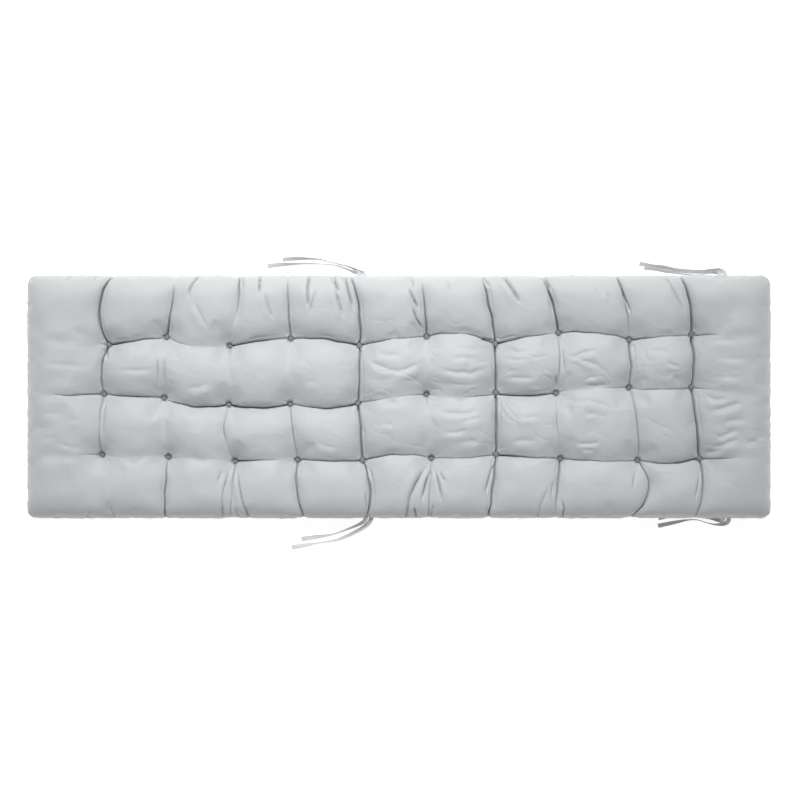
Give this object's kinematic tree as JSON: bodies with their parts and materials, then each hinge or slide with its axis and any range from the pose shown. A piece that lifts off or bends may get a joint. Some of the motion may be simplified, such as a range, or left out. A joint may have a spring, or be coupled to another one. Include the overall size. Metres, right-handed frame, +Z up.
{
  "type": "chaise lounge cushion",
  "caption": "Long padded lounger cushion: a filled cloth cover drawn in by a grid of buttoned tufts, with flat cloth ties sewn into its long sides.",
  "frame": {"origin": "centre of the underside, on the surface the cushion lies on", "axes": "+X along the cushion's length towards the end with the ties, +Y across its width, +Z up out of its tufted face"},
  "size_m": [1.7, 0.6758, 0.0823],
  "materials": {
    "cover": "light grey smooth matt polyester cover cloth",
    "button": "tufting buttons covered in the cover's cloth",
    "tie": "flat ties folded from the cover's cloth"
  },
  "bodies": {
    "root": {"cushion": "cover", "button_r1_c01": "button", "button_r1_c02": "button", "button_r1_c03": "button", "button_r1_c04": "button", "button_r1_c05": "button", "button_r1_c06": "button", "button_r1_c07": "button", "button_r1_c08": "button", "button_r1_c09": "button", "button_r1_c10": "button", "button_r2_c01": "button", "button_r2_c02": "button", "button_r2_c03": "button", "button_r2_c04": "button", "button_r2_c05": "button", "button_r2_c06": "button", "button_r2_c07": "button", "button_r2_c08": "button", "button_r2_c09": "button", "button_r2_c10": "button", "button_r3_c01": "button", "button_r3_c02": "button", "button_r3_c03": "button", "button_r3_c04": "button", "button_r3_c05": "button", "button_r3_c06": "button", "button_r3_c07": "button", "button_r3_c08": "button", "button_r3_c09": "button", "button_r3_c10": "button", "tie_middle_far_a": "tie", "tie_middle_far_b": "tie", "tie_middle_near_a": "tie", "tie_middle_near_b": "tie", "tie_end_far_a": "tie", "tie_end_far_b": "tie", "tie_end_near_a": "tie", "tie_end_near_b": "tie"}
  },
  "joints": []
}
